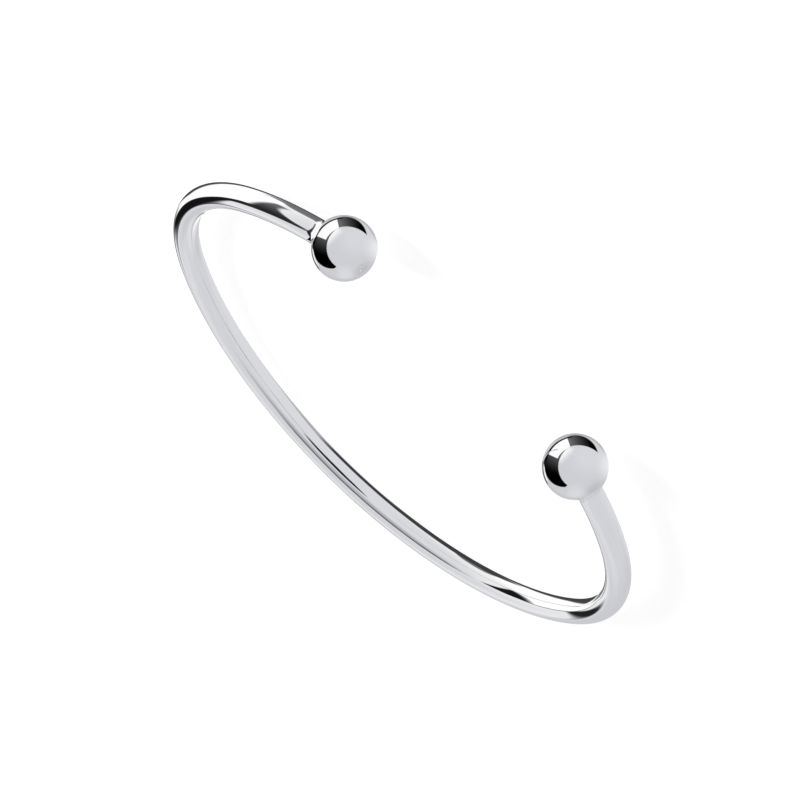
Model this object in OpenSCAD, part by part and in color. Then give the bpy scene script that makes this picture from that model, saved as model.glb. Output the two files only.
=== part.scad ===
/* [Band] */
// Thickness of the round wire
wire_d = 3; // [2.4:0.1:3.6]

/* [Balls] */
// Diameter of each ball
ball_d = 7.4; // [6.4:0.1:8.4]
// Radius of the hollow run of solder where the wire enters the ball
solder_r = 1; // [0.4:0.1:1.4]
// Angle at which the solder thins out onto the wire
solder_edge = 15; // [10:1:25]

/* [Left half of the oval] */
// Radius of the back sweep, to the middle of the wire
left_back_r = 35.5; // [33:0.5:38]
// Angle that the back sweep turns
left_back_turn = 55; // [50:0.5:60]
// Radius of the side bend
left_side_r = 22; // [20:0.5:24]
// Angle that the side bend turns
left_side_turn = 73; // [68:0.5:78]
// Radius of the front sweep, which ends in the middle of the ball
left_front_r = 35; // [30:0.5:40]
// Angle that the front sweep turns
left_front_turn = 25; // [20:0.5:28]

/* [Right half of the oval] */
// Radius of the back sweep, to the middle of the wire
right_back_r = 33.5; // [31:0.5:36]
// Angle that the back sweep turns
right_back_turn = 69; // [64:0.5:72]
// Radius of the side bend
right_side_r = 23.5; // [21:0.5:26]
// Angle that the side bend turns
right_side_turn = 57.5; // [52:0.5:62]
// Radius of the front sweep, which ends in the middle of the ball
right_front_r = 35; // [30:0.5:40]
// Angle that the front sweep turns
right_front_turn = 22; // [18:0.5:26]

/* [Hidden] */
$fn = 96;

wire_r = wire_d / 2;
ball_r = ball_d / 2;

// Middle of the hollow in the solder's outline, where the wire leaves the ball along -Y
hollow_x = wire_r + solder_r * cos(solder_edge);
hollow = [hollow_x, -sqrt(pow(ball_r + solder_r, 2) - pow(hollow_x, 2))];

// How far from the middle of the ball the solder thins out onto the wire
solder_reach = -hollow[1] - solder_r * sin(solder_edge);

// One row for each bend, from the middle of the back to the middle of the ball
// Columns of a row
RADIUS = 0;
TURN = 1;
LEFT = [
    [left_back_r, left_back_turn],
    [left_side_r, left_side_turn],
    [left_front_r, left_front_turn],
];
RIGHT = [
    [right_back_r, right_back_turn],
    [right_side_r, right_side_turn],
    [right_front_r, right_front_turn],
];

// Each half is laid out flat, from [0, 0] at the middle of the back, heading along +X.
// Heading where bend i starts
function heading(rows, i) = i == 0 ? 0 : heading(rows, i - 1) + rows[i - 1][TURN];

// Step from the middle of a bend of radius r to its wire, where the wire heads along angle a
function spoke(r, a) = r * [sin(a), -cos(a)];

// Middle of bend i: each bend shares its last spoke with the next, so the wire has no corner
function middle(rows, i) =
    i == 0
        ? [0, rows[0][RADIUS]]
        : middle(rows, i - 1) + spoke(rows[i - 1][RADIUS] - rows[i][RADIUS], heading(rows, i));

// Middle of the ball, where the last bend ends
function ball_middle(rows) =
    let (last = len(rows) - 1)
    middle(rows, last) + spoke(rows[last][RADIUS], heading(rows, last + 1));

// The middle of the wire at each degree of its bends, which gives how far it reaches
function centreline(rows) = [
    for (i = [0 : len(rows) - 1], a = [0 : 1 : rows[i][TURN]])
        middle(rows, i) + spoke(rows[i][RADIUS], heading(rows, i) + a)
];
function mirrored(points) = [for (p = points) [-p[0], p[1]]];
function turned(points, a) = [
    for (p = points) [p[0] * cos(a) - p[1] * sin(a), p[0] * sin(a) + p[1] * cos(a)]
];

// The oval is turned in its own plane until both balls are equally far forward
left_ball = mirrored([ball_middle(LEFT)])[0];
right_ball = ball_middle(RIGHT);
square_up = -atan2(right_ball[1] - left_ball[1], right_ball[0] - left_ball[0]);
wire_path = turned(concat(mirrored(centreline(LEFT)), centreline(RIGHT)), square_up);
left_x = min([for (p = wire_path) p[0]]);
right_x = max([for (p = wire_path) p[0]]);
back_y = min([for (p = wire_path) p[1]]);
balls_y = turned([right_ball], square_up)[0][1];

// The balls are thicker than the wire, so the bangle rests on both balls and on its back
rest_tilt = asin((ball_r - wire_r) / (balls_y - back_y));
rest_back_y = back_y * cos(rest_tilt) - wire_r;
rest_front_y = balls_y * cos(rest_tilt) + ball_r;
rest_lift = wire_r - back_y * sin(rest_tilt);

// Moves flat in two steps, so that the wire's ends meet to a millionth of a millimetre
module place(p) {
    coarse = [for (v = p) round(v * 1000) / 1000];
    translate(coarse)
        translate(p - coarse)
            children();
}

// One bend of wire, from angle from on its circle
module bend(r, from, turn) {
    rotate_extrude(start = from, angle = turn)
        translate([r, 0])
            circle(r = wire_r);
}

// The bends of one half of the band
module band_half(rows) {
    color("silver")
        for (i = [0 : len(rows) - 1])
            place(middle(rows, i))
                bend(rows[i][RADIUS], heading(rows, i) - 90, rows[i][TURN]);
}

// The hollow run of solder between a ball and its wire, which leaves along -Y:
// it is round, it touches the ball smoothly, and it thins out onto the wire
module solder() {
    touch = hollow * ball_r / (ball_r + solder_r);
    rotate([-90, 0, 0])
        rotate_extrude()
            difference() {
                polygon([[0, 0], touch, hollow, [0, hollow[1]]]);
                translate(hollow)
                    circle(r = solder_r);
            }
}

// The ball at the end of one half, with its solder, which points at the wire where it thins out
module ball_end(rows) {
    lean = asin(solder_reach / (2 * rows[len(rows) - 1][RADIUS]));
    color("silver")
        translate(ball_middle(rows))
            rotate([0, 0, heading(rows, len(rows)) - 90 - lean]) {
                sphere(r = ball_r);
                solder();
            }
}

// One half of the band with its ball
module half(rows) {
    band_half(rows);
    ball_end(rows);
}

// The whole bangle, soldered into one solid and lying as it rests
module bangle() {
    color("silver")
        translate([-(left_x + right_x) / 2, -(rest_back_y + rest_front_y) / 2, rest_lift])
            rotate([rest_tilt, 0, 0])
                rotate([0, 0, square_up])
                    union() {
                        half(RIGHT);
                        mirror([1, 0, 0])
                            half(LEFT);
                    }
}

bangle();
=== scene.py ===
"""A torque bangle of polished silver, lying on a pale floor in a soft white studio."""
import math

import bmesh
import bpy
from mathutils import Matrix, Vector


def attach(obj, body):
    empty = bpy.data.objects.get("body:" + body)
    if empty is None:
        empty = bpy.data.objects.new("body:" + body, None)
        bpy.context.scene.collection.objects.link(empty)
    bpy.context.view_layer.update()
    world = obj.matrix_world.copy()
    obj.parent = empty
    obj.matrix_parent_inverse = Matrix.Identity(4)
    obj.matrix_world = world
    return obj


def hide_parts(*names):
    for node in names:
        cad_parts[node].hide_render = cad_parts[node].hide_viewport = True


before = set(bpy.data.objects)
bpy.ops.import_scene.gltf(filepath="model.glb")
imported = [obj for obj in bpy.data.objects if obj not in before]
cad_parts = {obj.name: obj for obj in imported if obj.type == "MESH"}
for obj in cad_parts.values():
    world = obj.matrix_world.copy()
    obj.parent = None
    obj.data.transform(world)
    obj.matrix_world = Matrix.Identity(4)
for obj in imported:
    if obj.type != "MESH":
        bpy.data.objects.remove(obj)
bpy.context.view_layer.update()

MM = 0.001

# Sizes of the bangle, the same as in its construction, in millimetres and degrees
WIRE_R = 1.5
BALL_R = 3.7
SOLDER_R = 1.0
SOLDER_EDGE = math.radians(15)
# Radius and turn of each bend, from the middle of the back to the middle of the ball
LEFT_BENDS = [(35.5, 55), (22, 73), (35, 25)]
RIGHT_BENDS = [(33.5, 69), (23.5, 57.5), (35, 22)]

# Fineness of the mesh
AROUND = 96  # points round the wire and round each ball
WIRE_STEP = 0.36  # millimetres between rings along the wire
BALL_RINGS = 60
SOLDER_RINGS = 16
HIDDEN_END = 2.4  # millimetres from the middle of a ball to the band's end inside it
# The halves of the band meet in a long slant, so that their reflections run into each other
SLANT = 8.0  # millimetres that it reaches to either side of the middle of the back
SLANT_FROM = 30.0  # millimetres before the middle of the back where its rings start to lean
STEEPEST = math.radians(60)  # where round the wire, from outward and upward, it is steepest

# The photograph's viewpoint
AIM = Vector((-0.233, 3.825, 3.0)) * MM  # the point in the middle of the picture
CAMERA_DISTANCE = 542.22 * MM
CAMERA_AZIMUTH = math.radians(86.9706)  # from +X, seen from above
CAMERA_ELEVATION = math.radians(24.1088)
CAMERA_ROLL = math.radians(-135.3367)
LENS = 213.003  # millimetres of focal length, for a sensor this wide
SENSOR_WIDTH = 36
CLIP = (0.05, 20)  # nearest and farthest that the camera sees, in metres

# The silver's polish
SILVER = 0.99  # how much light clean silver gives back
POLISH = 0.03  # roughness
POLISH_SPREAD = 0.015  # how far the marks change it, up and down
MARK_SCALE = 6.0  # marks a millimetre across the wire
MARK_DETAIL = 3.0  # how many finer sizes of marks there are
MARK_STRETCH = 25  # how many times longer than wide the marks on the band are
MARK_RANGE = (0.3, 0.7)  # the noise stays about between these
MARK_DEPTH = 0.002  # millimetres
HAZE = 0.1  # how much marks of full strength darken the silver, on average
BAND_MARKS = 0.6  # strength of the marks
BALL_MARKS = 0.1

# The studio, with its lengths in metres
FLOOR_HALF = 1.5
FLOOR_WHITE = 0.9
FLOOR_ROUGHNESS = 0.9
FLOOR_GLOW = 0.70
ROOM_LIGHT = 0.28  # what lights the floor
BACKDROP = 0.98  # what the camera sees beyond the floor
LAMP_SIZE = 0.3
LAMP_POWER = 1.0  # watts
LAMP_DISTANCE = 0.6
LAMP_AZIMUTH = math.radians(200)
LAMP_ELEVATION = math.radians(30)

# The shells: big spheres that the silver reflects, one for each surrounding
LEFT_SHELL = 3.0  # radius in metres; they differ, so that no two shells touch
RIGHT_SHELL = 3.09
BALL_SHELL = 3.18
SHELL_SEGMENTS = 64
SHELL_RINGS = 32
DISPLAY_GAMMA = 2.2  # from the greys of a picture to light
WHITE = 255  # the greys of a picture run from 0 to this
BRIGHT_WALL = 265  # a wall that stays white although the marks darken the silver
GREY_TINT = (0.945, 0.952, 1, 1)  # the greys are a little blue
WHITE_TINT = (1, 1, 1, 1)
TINT_FADE = (0.87, 0.97)  # from this grey on, of 1, the tint fades to white


# The bangle's shape


def spoke(radius, heading):
    """Step from the middle of a bend to its wire, where the wire heads along heading."""
    return Vector((radius * math.sin(heading), -radius * math.cos(heading), 0))


def half_path(rows):
    """(point, direction) along the middle of the wire of one half, laid out flat, from the
    middle of the back to the middle of the ball."""
    path, heading, middle = [], 0.0, Vector((0, rows[0][0], 0))
    for i, (radius, degrees) in enumerate(rows):
        if i:
            middle = middle + spoke(rows[i - 1][0] - radius, heading)
        turn = math.radians(degrees)
        steps = round(radius * turn / WIRE_STEP)
        for k in range(0 if i == 0 else 1, steps + 1):
            a = heading + turn * k / steps
            path.append((middle + spoke(radius, a), Vector((math.cos(a), math.sin(a), 0))))
        heading += turn
    return path


def whole_path():
    """(point, direction) from the middle of the left ball round the back to the right ball."""
    left = [
        (Vector((-p.x, p.y, 0)), Vector((t.x, -t.y, 0))) for p, t in half_path(LEFT_BENDS)
    ]
    return left[::-1] + half_path(RIGHT_BENDS)[1:]


def rest_matrix(path):
    """Lays the flat oval down: both balls equally far forward, resting on them and its back."""
    left, right = path[0][0], path[-1][0]
    square_up = Matrix.Rotation(-math.atan2(right.y - left.y, right.x - left.x), 4, "Z")
    points = [square_up @ p for p, _ in path]
    back_y, front_y = min(p.y for p in points), points[-1].y
    left_x, right_x = min(p.x for p in points), max(p.x for p in points)
    tilt = math.asin((BALL_R - WIRE_R) / (front_y - back_y))
    rest_back = back_y * math.cos(tilt) - WIRE_R
    rest_front = front_y * math.cos(tilt) + BALL_R
    lift = WIRE_R - back_y * math.sin(tilt)
    shift = Vector((-(left_x + right_x) / 2, -(rest_back + rest_front) / 2, lift))
    return (
        Matrix.Scale(MM, 4)
        @ Matrix.Translation(shift)
        @ Matrix.Rotation(tilt, 4, "X")
        @ square_up
    )


def solder_hollow():
    """(along, out) of the middle of the solder's hollow, seen from the middle of the ball."""
    out = WIRE_R + SOLDER_R * math.cos(SOLDER_EDGE)
    return math.sqrt((BALL_R + SOLDER_R) ** 2 - out**2), out


def solder_profile():
    """(along, out, normal along, normal out) of the solder's hollow, from the ball to the
    wire."""
    hollow_along, hollow_out = solder_hollow()
    steep = math.pi / 2 - math.atan2(hollow_out, hollow_along)
    rows = []
    for k in range(SOLDER_RINGS + 1):
        a = steep + (SOLDER_EDGE - steep) * k / SOLDER_RINGS
        along, out = hollow_along - SOLDER_R * math.sin(a), hollow_out - SOLDER_R * math.cos(a)
        rows.append((along, out, math.sin(a), math.cos(a)))
    return rows


def skin(name, rings, tips, place):
    """A closed, smooth mesh over rings of (spot, out, normal along, normal out), where spot
    gives the ring's middle and direction at each angle round it. It is closed at each end by
    a tip: the point there and the way out of it. Its UV map runs along it and around it in
    millimetres."""
    up = Vector((0, 0, 1))
    points, normals, faces, uvs = [], [], [], []
    along = [[0.0] * AROUND]
    last_middles = None
    for spot, out, normal_along, normal_out in rings:
        middles = []
        for k in range(AROUND):
            a = 2 * math.pi * k / AROUND
            middle, direction = spot(a)
            outward = direction.cross(up) * math.cos(a) + up * math.sin(a)
            points.append(middle + outward * out)
            normals.append(direction * normal_along + outward * normal_out)
            middles.append(middle)
        if last_middles:
            steps = [(m - n).length for m, n in zip(middles, last_middles)]
            along.append([u + step for u, step in zip(along[-1], steps)])
        last_middles = middles
    width = 2 * math.pi * WIRE_R / AROUND
    for i in range(len(rings) - 1):
        a, b = i * AROUND, (i + 1) * AROUND
        for k in range(AROUND):
            j = (k + 1) % AROUND
            faces.append((a + k, b + k, b + j, a + j))
            uvs += [(along[i][k], k * width), (along[i + 1][k], k * width)]
            uvs += [(along[i + 1][j], (k + 1) * width), (along[i][j], (k + 1) * width)]
    first, last = len(points), (len(rings) - 1) * AROUND
    for k in range(AROUND):
        j = (k + 1) % AROUND
        faces += [(first, k, j), (first + 1, last + j, last + k)]
        uvs += [(along[0][k], k * width)] * 3 + [(along[-1][k], k * width)] * 3
    points += [point for point, _ in tips]
    normals += [normal for _, normal in tips]
    mesh = bpy.data.meshes.new(name)
    mesh.from_pydata([place @ p for p in points], [], faces)
    layer = mesh.uv_layers.new(name="along_and_around")
    for corner, uv in zip(layer.data, uvs):
        corner.uv = uv
    mesh.shade_smooth()
    turn = place.to_3x3().normalized()
    mesh.normals_split_custom_set_from_vertices([(turn @ n).normalized() for n in normals])
    return mesh


def fixed_spot(middle, direction):
    """A spot that is the same all round the ring."""
    return lambda a: (middle, direction)


def leaning_spot(path, i, lean, steepest):
    """The spot of path at point i. Round the ring it slides along path, by up to lean points
    each way, the fastest at the angle steepest."""

    def spot(a):
        at = i + lean * math.sin(a - steepest)
        k = min(int(at), len(path) - 2)
        (p, t), (q, u) = path[k], path[k + 1]
        return p.lerp(q, at - k), t.lerp(u, at - k).normalized()

    return spot


def band_mesh(name, path, count, steepest, place):
    """Half of the band: the solder on the ball at the start of path, which points at the wire
    where it thins out, and the wire from there to the middle of the back, count points on."""
    middle = path[0][0]
    profile = solder_profile()
    start = next(i for i, (p, _) in enumerate(path) if (p - middle).length >= profile[-1][0])
    along = (path[start][0] - middle).normalized()
    rings = [(fixed_spot(middle + along * row[0], along), *row[1:]) for row in profile]
    for i in range(start + 1, count):
        lean = max(0, 1 - (count - 1 - i) * WIRE_STEP / SLANT_FROM) * SLANT / WIRE_STEP
        rings.append((leaning_spot(path, i, lean, steepest), WIRE_R, 0.0, 1.0))
    tips = [(middle + along * HIDDEN_END, -along), path[count - 1]]
    return skin(name, rings, tips, place)


def ball_mesh(name, middle, place):
    along = Vector((0, 1, 0))
    rings = []
    for k in range(1, BALL_RINGS):
        a = math.pi * (1 - k / BALL_RINGS)
        out, normal = BALL_R * math.sin(a), (math.cos(a), math.sin(a))
        rings.append((fixed_spot(middle + along * BALL_R * math.cos(a), along), out, *normal))
    tips = [(middle - along * BALL_R, -along), (middle + along * BALL_R, along)]
    return skin(name, rings, tips, place)


# Materials


def silver_material(name, stretch, marks):
    """Polished silver. Fine polishing marks, stretched along the piece, roughen and dent it."""
    silver = bpy.data.materials.new(name)
    silver.use_nodes = True
    tree = silver.node_tree
    shader = tree.nodes["Principled BSDF"]
    shader.inputs["Metallic"].default_value = 1.0
    place = tree.nodes.new("ShaderNodeUVMap")
    place.uv_map = "along_and_around"
    squeeze = tree.nodes.new("ShaderNodeMapping")
    squeeze.inputs["Scale"].default_value = (1 / stretch, 1, 1)
    tree.links.new(place.outputs[0], squeeze.inputs[0])
    noise = tree.nodes.new("ShaderNodeTexNoise")
    noise.inputs["Scale"].default_value = MARK_SCALE
    noise.inputs["Detail"].default_value = MARK_DETAIL
    tree.links.new(squeeze.outputs[0], noise.inputs["Vector"])
    haze = tree.nodes.new("ShaderNodeMix")
    haze.data_type = "RGBA"
    hazy = 1 - 2 * marks * HAZE  # the darkest marks, twice as dark as the average
    haze.inputs["A"].default_value = (hazy, hazy, hazy, 1)
    haze.inputs["B"].default_value = (SILVER, SILVER, SILVER, 1)
    tree.links.new(noise.outputs["Fac"], haze.inputs["Factor"])
    tree.links.new(haze.outputs["Result"], shader.inputs["Base Color"])
    rough = tree.nodes.new("ShaderNodeMapRange")
    rough.inputs["From Min"].default_value = MARK_RANGE[0]
    rough.inputs["From Max"].default_value = MARK_RANGE[1]
    rough.inputs["To Min"].default_value = POLISH - POLISH_SPREAD
    rough.inputs["To Max"].default_value = POLISH + POLISH_SPREAD
    tree.links.new(noise.outputs["Fac"], rough.inputs["Value"])
    tree.links.new(rough.outputs[0], shader.inputs["Roughness"])
    bump = tree.nodes.new("ShaderNodeBump")
    bump.inputs["Strength"].default_value = marks
    bump.inputs["Distance"].default_value = MARK_DEPTH * MM
    tree.links.new(noise.outputs["Fac"], bump.inputs["Height"])
    tree.links.new(bump.outputs[0], shader.inputs["Normal"])
    return silver


def floor_material():
    paper = bpy.data.materials.new("lit_white_floor")
    paper.use_nodes = True
    shader = paper.node_tree.nodes["Principled BSDF"]
    shader.inputs["Base Color"].default_value = (FLOOR_WHITE, FLOOR_WHITE, FLOOR_WHITE, 1)
    shader.inputs["Roughness"].default_value = FLOOR_ROUGHNESS
    shader.inputs["Specular IOR Level"].default_value = 0.0
    shader.inputs["Emission Color"].default_value = (1, 1, 1, 1)
    shader.inputs["Emission Strength"].default_value = FLOOR_GLOW
    return paper


# The camera and the floor


def compass(azimuth, elevation):
    """The direction at an azimuth from +X and an elevation above the floor."""
    level = math.cos(elevation)
    return Vector((math.cos(azimuth) * level, math.sin(azimuth) * level, math.sin(elevation)))


def camera_axes():
    """Right, up and back of the photograph's camera, in the frame."""
    back = compass(CAMERA_AZIMUTH, CAMERA_ELEVATION)
    sideways = Vector((0, 0, 1)).cross(back).normalized()
    right = Matrix.Rotation(CAMERA_ROLL, 3, back) @ sideways
    return right, back.cross(right), back


def make_camera():
    right, up, back = camera_axes()
    camera = bpy.data.cameras.new("camera")
    camera.lens = LENS
    camera.sensor_width = SENSOR_WIDTH
    camera.clip_start, camera.clip_end = CLIP
    turned = Matrix((right, up, back)).transposed().to_4x4()
    body = bpy.data.objects.new("camera", camera)
    body.matrix_world = Matrix.Translation(AIM + back * CAMERA_DISTANCE) @ turned
    bpy.context.collection.objects.link(body)
    bpy.context.scene.camera = body


def make_floor():
    mesh = bpy.data.meshes.new("floor")
    h = FLOOR_HALF
    corners = [(-h, -h, 0), (h, -h, 0), (h, h, 0), (-h, h, 0)]
    mesh.from_pydata(corners, [], [(0, 1, 2, 3)])
    mesh.materials.append(floor_material())
    floor = bpy.data.objects.new("floor", mesh)
    bpy.context.collection.objects.link(floor)
    floor.visible_glossy = False


# The studio's reflections


class Painter:
    """Paints a shell in greys. Each direction has a fixed place on a flat round chart, where
    a polished ball shows it to the photograph's viewpoint: x to the right and y up, from -1
    to 1, with the middle of the ball at 0, 0. Masks are 1 where they hold, and 0 elsewhere."""

    ABOVE_ZERO = 0.0001  # keeps the division from failing straight away from the viewpoint

    def __init__(self, tree, direction):
        self.tree = tree
        right, up, back = (self.dot(direction, axis) for axis in camera_axes())
        size = self.math("SQRT", self.math("MULTIPLY_ADD", back, 2, 2 + self.ABOVE_ZERO))
        self.x = self.math("DIVIDE", right, size)
        self.y = self.math("DIVIDE", up, size)
        self.grey = 1.0

    def math(self, operation, *values):
        node = self.tree.nodes.new("ShaderNodeMath")
        node.operation = operation
        for socket, value in zip(node.inputs, values):
            if isinstance(value, (int, float)):
                socket.default_value = value
            else:
                self.tree.links.new(value, socket)
        return node.outputs[0]

    def dot(self, direction, axis):
        node = self.tree.nodes.new("ShaderNodeVectorMath")
        node.operation = "DOT_PRODUCT"
        self.tree.links.new(direction, node.inputs[0])
        node.inputs[1].default_value = axis
        return node.outputs["Value"]

    def ramp(self, value, low, high, to_low=0.0, to_high=1.0, kind="SMOOTHSTEP"):
        """to_low where value is low or under, to_high where it is high or over."""
        node = self.tree.nodes.new("ShaderNodeMapRange")
        node.interpolation_type = kind
        if low > high:
            low, high, to_low, to_high = high, low, to_high, to_low
        for name, number in (
            ("From Min", low),
            ("From Max", high),
            ("To Min", to_low),
            ("To Max", to_high),
        ):
            node.inputs[name].default_value = number
        self.tree.links.new(value, node.inputs["Value"])
        return node.outputs[0]

    def distance(self, centre, stretch=1.0, turn=0.0):
        """Distance from centre. Across the turned way it counts stretch times."""
        c, s = math.cos(math.radians(turn)), math.sin(math.radians(turn))
        x = self.math("SUBTRACT", self.x, centre[0])
        y = self.math("SUBTRACT", self.y, centre[1])
        along = self.math("MULTIPLY_ADD", x, c, self.math("MULTIPLY", y, s))
        across = self.math("MULTIPLY_ADD", y, c, self.math("MULTIPLY", x, -s))
        across = self.math("MULTIPLY", across, stretch)
        square = self.math("MULTIPLY_ADD", along, along, self.math("POWER", across, 2))
        return self.math("SQRT", square)

    def disc(self, centre, radius, soft=0.01, stretch=1.0, turn=0.0):
        """Inside a disc, with an edge of the given softness."""
        away = self.distance(centre, stretch, turn)
        return self.ramp(away, radius + soft, radius - soft)

    def beyond(self, radius, soft):
        """Outside a circle round the middle."""
        return self.outside(self.disc((0, 0), radius, soft))

    def ring(self, outer, inner, soft=0.01):
        """Between two circles round the middle."""
        return self.between(self.disc((0, 0), outer, soft), self.disc((0, 0), inner, soft))

    def side(self, turn, start, soft=0.01):
        """Beyond a straight line: start is its distance from the middle, along turn."""
        c, s = math.cos(math.radians(turn)), math.sin(math.radians(turn))
        along = self.math("MULTIPLY_ADD", self.x, c, self.math("MULTIPLY", self.y, s))
        return self.ramp(along, start - soft, start + soft)

    def both(self, *masks):
        out = masks[0]
        for mask in masks[1:]:
            out = self.math("MULTIPLY", out, mask)
        return out

    def either(self, *masks):
        out = masks[0]
        for mask in masks[1:]:
            out = self.math("MAXIMUM", out, mask)
        return out

    def outside(self, mask):
        return self.math("SUBTRACT", 1, mask)

    def between(self, outer, inner):
        return self.both(outer, self.outside(inner))

    def paint(self, grey, mask):
        """Lays grey over what is there, by mask. It runs from 0 to WHITE, as in a picture, or
        it is a ramp, which runs from 0 to 1."""
        if isinstance(grey, (int, float)):
            grey = grey / WHITE
        step = self.math("SUBTRACT", grey, self.grey)
        self.grey = self.math("MULTIPLY_ADD", step, mask, self.grey)


def paint_for_balls(p):
    """What both balls reflect. Here and below, each mask has its centre, radius and softness,
    or its turn, start and softness."""
    p.grey = 211 / WHITE
    light_above = p.disc((0.35, 0.30), 0.45, 0.30)
    p.paint(220, light_above)
    light_at_right = p.disc((1.10, 0.05), 0.38, 0.25)
    p.paint(236, light_at_right)
    light_below = p.disc((0.02, -0.80), 0.22, 0.15)
    p.paint(222, light_below)
    lamp_glow = p.both(p.side(133, 0.42, 0.14), p.disc((-0.28, 0.30), 0.32, 0.12))
    p.paint(250, lamp_glow)
    shade_at_lower_right = p.disc((0.58, -0.66), 0.26, 0.20, stretch=1.6, turn=42)
    p.paint(194, shade_at_lower_right)
    lower_edge = p.both(p.beyond(0.92, 0.04), p.side(-90, 0.4, 0.2))
    p.paint(202, lower_edge)
    upper_edge = p.both(p.beyond(0.94, 0.04), p.side(75, 0.60, 0.15))
    p.paint(185, upper_edge)
    # the dark gap between the light ceiling and the wall, and the window in it
    ceiling = p.both(p.disc((0.156, 0.0), 0.673, 0.008), p.disc((0.072, -0.239), 0.878, 0.008))
    rim = p.both(p.disc((-0.006, -0.032), 0.942, 0.012), p.side(132, 0.70, 0.01))
    upper = p.disc((0.019, 0.282), 0.657, 0.02)
    left = p.both(p.disc((-0.267, 0.051), 0.683, 0.015), p.side(90, -0.18, 0.05))
    low = p.disc((-0.35, -0.05), 0.555, 0.012)
    tip = p.side(-45, 0.22, 0.01)
    gap = p.both(p.either(upper, left, low, rim), p.outside(ceiling), p.outside(tip))
    lamp_distance = p.distance((-0.38, 0.62))
    shade = p.ramp(lamp_distance, 0.287, 0.92, 105 / WHITE, 1 / WHITE, "LINEAR")
    p.paint(shade, gap)
    frame_of_window = p.both(p.ring(0.93, 0.88), rim)
    p.paint(15, frame_of_window)
    window_sides = (p.side(194, 0.0), p.side(65, 0.0))
    window = p.both(p.ring(0.878, 0.592, 0.008), p.outside(ceiling), *window_sides)
    p.paint(WHITE, window)
    # a white strip and a thin dark line at the left edge
    left_edge = p.side(194, 0.90, 0.01)
    p.paint(245, p.both(p.ring(0.955, 0.915, 0.006), left_edge))
    p.paint(60, p.both(p.ring(0.985, 0.955, 0.006), left_edge))


def paint_for_band(p):
    """What both halves of the band reflect."""
    p.grey = p.ramp(p.y, -0.5, 0.0, 220 / WHITE, 227 / WHITE)
    light_above = p.both(p.outside(p.disc((0.17, -0.12), 0.82, 0.14)), p.side(115, 0.25, 0.15))
    p.paint(248, light_above)
    light_at_left = p.both(p.beyond(0.80, 0.1), p.side(215, 0.5, 0.15))
    p.paint(240, light_at_left)
    lower_edge = p.both(p.beyond(0.86, 0.1), p.side(-75, 0.5, 0.2))
    p.paint(210, lower_edge)


def paint_over_band(p, arc_start):
    """The rest of what both halves reflect, over their walls. The dark arc starts at the grey
    arc_start."""
    upper_edge = p.outside(p.disc((-0.011, -0.012), 0.955, 0.012))
    p.paint(70, p.both(upper_edge, p.side(105, 0.60, 0.04)))
    left_edge = p.both(p.beyond(0.974, 0.008), p.side(200, 0.82, 0.05))
    p.paint(130, left_edge)
    # the dark arc at the upper right, and two patches above it
    arc = p.both(
        p.disc((0.107, 0.246), 0.688, 0.02),
        p.outside(p.disc((-0.225, -0.175), 1.008, 0.03)),
        p.outside(p.side(-35, 0.21, 0.04)),
        p.side(0, -0.08, 0.05),
    )
    upper_patch = p.disc((0.03, 0.83), 0.20, 0.03, stretch=3.0, turn=25)
    p.paint(125, upper_patch)
    right_patch = p.disc((0.70, 0.53), 0.14, 0.05, stretch=2.0, turn=30)
    p.paint(180, right_patch)
    p.paint(p.ramp(p.x, 0.15, 0.4, arc_start / WHITE, 65 / WHITE), arc)
    # the grey slope that ends in a thin dark line, and the small dark patch above it
    slope = p.both(p.side(225, 0.22, 0.15), p.outside(p.side(225, 0.45, 0.01)))
    p.paint(175, p.both(slope, p.disc((-0.30, -0.25), 0.36, 0.12)))
    line = p.both(p.side(225, 0.39, 0.02), p.outside(p.side(225, 0.47, 0.01)))
    p.paint(85, p.both(line, p.disc((-0.38, -0.22), 0.27, 0.06)))
    small_patch = p.disc((0.01, -0.005), 0.14, 0.025, stretch=1.7, turn=-32)
    p.paint(40, small_patch)


def paint_for_left(p):
    paint_for_band(p)
    # white wall at the upper left, and the dark gap beside it
    outer = p.disc((0.460, -0.298), 1.236, 0.012)
    wall = p.both(p.outside(outer), p.side(130, 0.46, 0.03))
    p.paint(BRIGHT_WALL, wall)
    gap = p.both(
        p.between(outer, p.disc((0.159, 0.009), 0.765, 0.012)),
        p.side(130, 0.42, 0.03),
        p.outside(p.side(40, 0.18, 0.04)),
    )
    p.paint(p.ramp(p.y, 0.0, 0.62, 45 / WHITE, 115 / WHITE, "LINEAR"), gap)
    end_of_gap = p.disc((-0.73, -0.06), 0.17, 0.025, stretch=2.0, turn=38)
    p.paint(45, end_of_gap)
    # the dark gap goes on below the wall
    low = p.between(p.disc((-0.025, 0.098), 0.98, 0.01), p.disc((-0.193, -0.259), 0.615, 0.01))
    p.paint(28, p.both(low, p.side(-90, 0.08, 0.04), p.side(180, 0.5)))
    # the light foot of the room at the lower right, and the thin line that crosses it
    bowl = p.disc((0.03, -0.505), 0.500, 0.012)
    foot = p.side(-70, 0.84, 0.08)
    p.paint(230, foot)
    below_bowl = p.both(p.outside(bowl), p.side(-75, 0.92, 0.05))
    p.paint(252, below_bowl)
    line = p.between(bowl, p.disc((0.03, -0.505), 0.478, 0.012))
    p.paint(150, p.both(line, p.side(0, 0.0, 0.02)))
    paint_over_band(p, 115)


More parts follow.
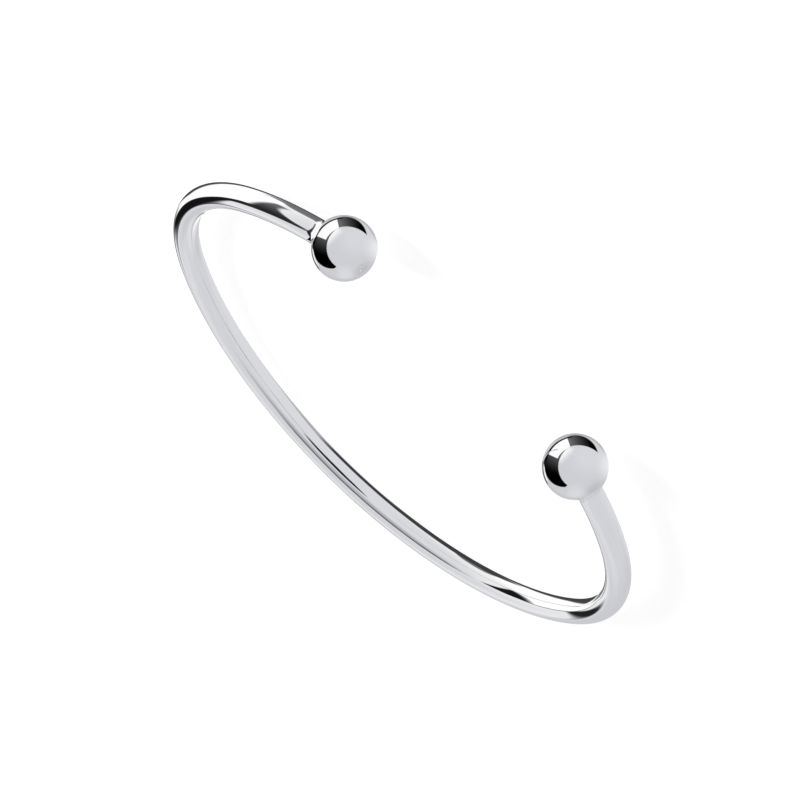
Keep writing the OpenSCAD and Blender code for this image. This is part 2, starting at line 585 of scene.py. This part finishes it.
def paint_for_right(p):
    paint_for_band(p)
    # white wall at the upper left, and the dark wedge at its foot
    wall = p.both(p.outside(p.disc((0.164, -0.101), 0.936, 0.04)), p.side(130, 0.545, 0.012))
    p.paint(BRIGHT_WALL, wall)
    wedge = p.between(p.disc((-0.030, -0.041), 0.745, 0.02), p.disc((0.466, 0.059), 1.091, 0.012))
    p.paint(30, p.both(wedge, p.side(90, 0.07, 0.02)))
    foot = p.both(p.side(130, 0.525, 0.01), p.outside(p.side(130, 0.555, 0.01)), p.side(180, 0.72))
    p.paint(90, foot)
    # the dark gap goes on below the wall
    low = p.between(p.disc((-0.262, -0.150), 0.642, 0.01), p.disc((0.072, -0.052), 0.941, 0.01))
    p.paint(40, p.both(low, p.side(-90, 0.05, 0.04), p.side(180, 0.5)))
    paint_over_band(p, 65)


def make_shell(name, radius, paint, lit):
    """A big sphere round everything that glows as painted. Only the pieces in lit reflect it,
    and nothing else sees it."""
    mesh = bpy.data.meshes.new(name)
    shape = bmesh.new()
    fineness = {"u_segments": SHELL_SEGMENTS, "v_segments": SHELL_RINGS}
    bmesh.ops.create_uvsphere(shape, radius=radius, **fineness)
    shape.to_mesh(mesh)
    shape.free()
    material = bpy.data.materials.new(name)
    material.use_nodes = True
    tree = material.node_tree
    tree.nodes.clear()
    place = tree.nodes.new("ShaderNodeTexCoord")
    way = tree.nodes.new("ShaderNodeVectorMath")
    way.operation = "NORMALIZE"
    tree.links.new(place.outputs["Object"], way.inputs[0])
    painter = Painter(tree, way.outputs[0])
    paint(painter)
    strength = painter.math("POWER", painter.grey, DISPLAY_GAMMA)
    tint = tree.nodes.new("ShaderNodeMix")
    tint.data_type = "RGBA"
    tint.inputs["A"].default_value = GREY_TINT
    tint.inputs["B"].default_value = WHITE_TINT
    tree.links.new(painter.ramp(painter.grey, *TINT_FADE), tint.inputs["Factor"])
    glow = tree.nodes.new("ShaderNodeEmission")
    tree.links.new(tint.outputs["Result"], glow.inputs["Color"])
    clear = tree.nodes.new("ShaderNodeBsdfTransparent")
    added = tree.nodes.new("ShaderNodeAddShader")
    out = tree.nodes.new("ShaderNodeOutputMaterial")
    tree.links.new(strength, glow.inputs["Strength"])
    tree.links.new(glow.outputs[0], added.inputs[0])
    tree.links.new(clear.outputs[0], added.inputs[1])
    tree.links.new(added.outputs[0], out.inputs["Surface"])
    mesh.materials.append(material)
    shell = bpy.data.objects.new(name, mesh)
    shell.location = AIM
    bpy.context.collection.objects.link(shell)
    shell.visible_camera = shell.visible_diffuse = shell.visible_shadow = False
    shell.visible_transmission = shell.visible_volume_scatter = False
    receivers = bpy.data.collections.new(name + "_on")
    for piece in lit:
        receivers.objects.link(piece)
    shell.light_linking.receiver_collection = receivers


def make_world():
    """Plain soft light for the floor. Reflections see the shells instead."""
    world = bpy.data.worlds.new("studio")
    world.use_nodes = True
    tree = world.node_tree
    rays = tree.nodes.new("ShaderNodeLightPath")
    strength = tree.nodes.new("ShaderNodeMath")
    strength.operation = "MULTIPLY_ADD"
    strength.inputs[1].default_value = BACKDROP - ROOM_LIGHT
    strength.inputs[2].default_value = ROOM_LIGHT
    tree.links.new(rays.outputs["Is Camera Ray"], strength.inputs[0])
    background = tree.nodes["Background"]
    background.inputs["Color"].default_value = (1, 1, 1, 1)
    tree.links.new(strength.outputs[0], background.inputs["Strength"])
    world.cycles_visibility.glossy = False
    bpy.context.scene.world = world


def make_lamp():
    """A soft lamp that gives the bangle its faint shadow. The silver doesn't show it."""
    lamp = bpy.data.lights.new("lamp", "AREA")
    lamp.shape = "DISK"
    lamp.size = LAMP_SIZE
    lamp.energy = LAMP_POWER
    way = compass(LAMP_AZIMUTH, LAMP_ELEVATION)
    body = bpy.data.objects.new("lamp", lamp)
    body.location = AIM + way * LAMP_DISTANCE
    body.rotation_euler = way.to_track_quat("Z", "Y").to_euler()
    body.visible_glossy = False
    bpy.context.collection.objects.link(body)


# The pieces of the bangle

path = whole_path()
place = rest_matrix(path)
path_back = [(p, -t) for p, t in path[::-1]]
left_count, right_count = len(half_path(LEFT_BENDS)), len(half_path(RIGHT_BENDS))
left_band = band_mesh("band_left", path, left_count, STEEPEST, place)
right_band = band_mesh("band_right", path_back, right_count, math.pi - STEEPEST, place)
band_silver = silver_material("polished_silver_band", stretch=MARK_STRETCH, marks=BAND_MARKS)
ball_silver = silver_material("polished_silver_ball", stretch=1, marks=BALL_MARKS)
pieces = {}
for name, mesh, silver in (
    ("band_left", left_band, band_silver),
    ("band_right", right_band, band_silver),
    ("ball_left", ball_mesh("ball_left", path[0][0], place), ball_silver),
    ("ball_right", ball_mesh("ball_right", path[-1][0], place), ball_silver),
):
    mesh.materials.append(silver)
    piece = bpy.data.objects.new(name, mesh)
    bpy.context.collection.objects.link(piece)
    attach(piece, "root")
    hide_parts("bangle")
    pieces[name] = piece
balls = [pieces["ball_left"], pieces["ball_right"]]
for ball in balls:
    ball.visible_glossy = False  # neither the other ball nor the band mirrors it

# The camera and the studio

make_camera()
make_floor()
make_world()
make_lamp()
make_shell("shell_for_left", LEFT_SHELL, paint_for_left, [pieces["band_left"]])
make_shell("shell_for_right", RIGHT_SHELL, paint_for_right, [pieces["band_right"]])
make_shell("shell_for_balls", BALL_SHELL, paint_for_balls, balls)
bpy.context.scene.view_settings.view_transform = "Standard"
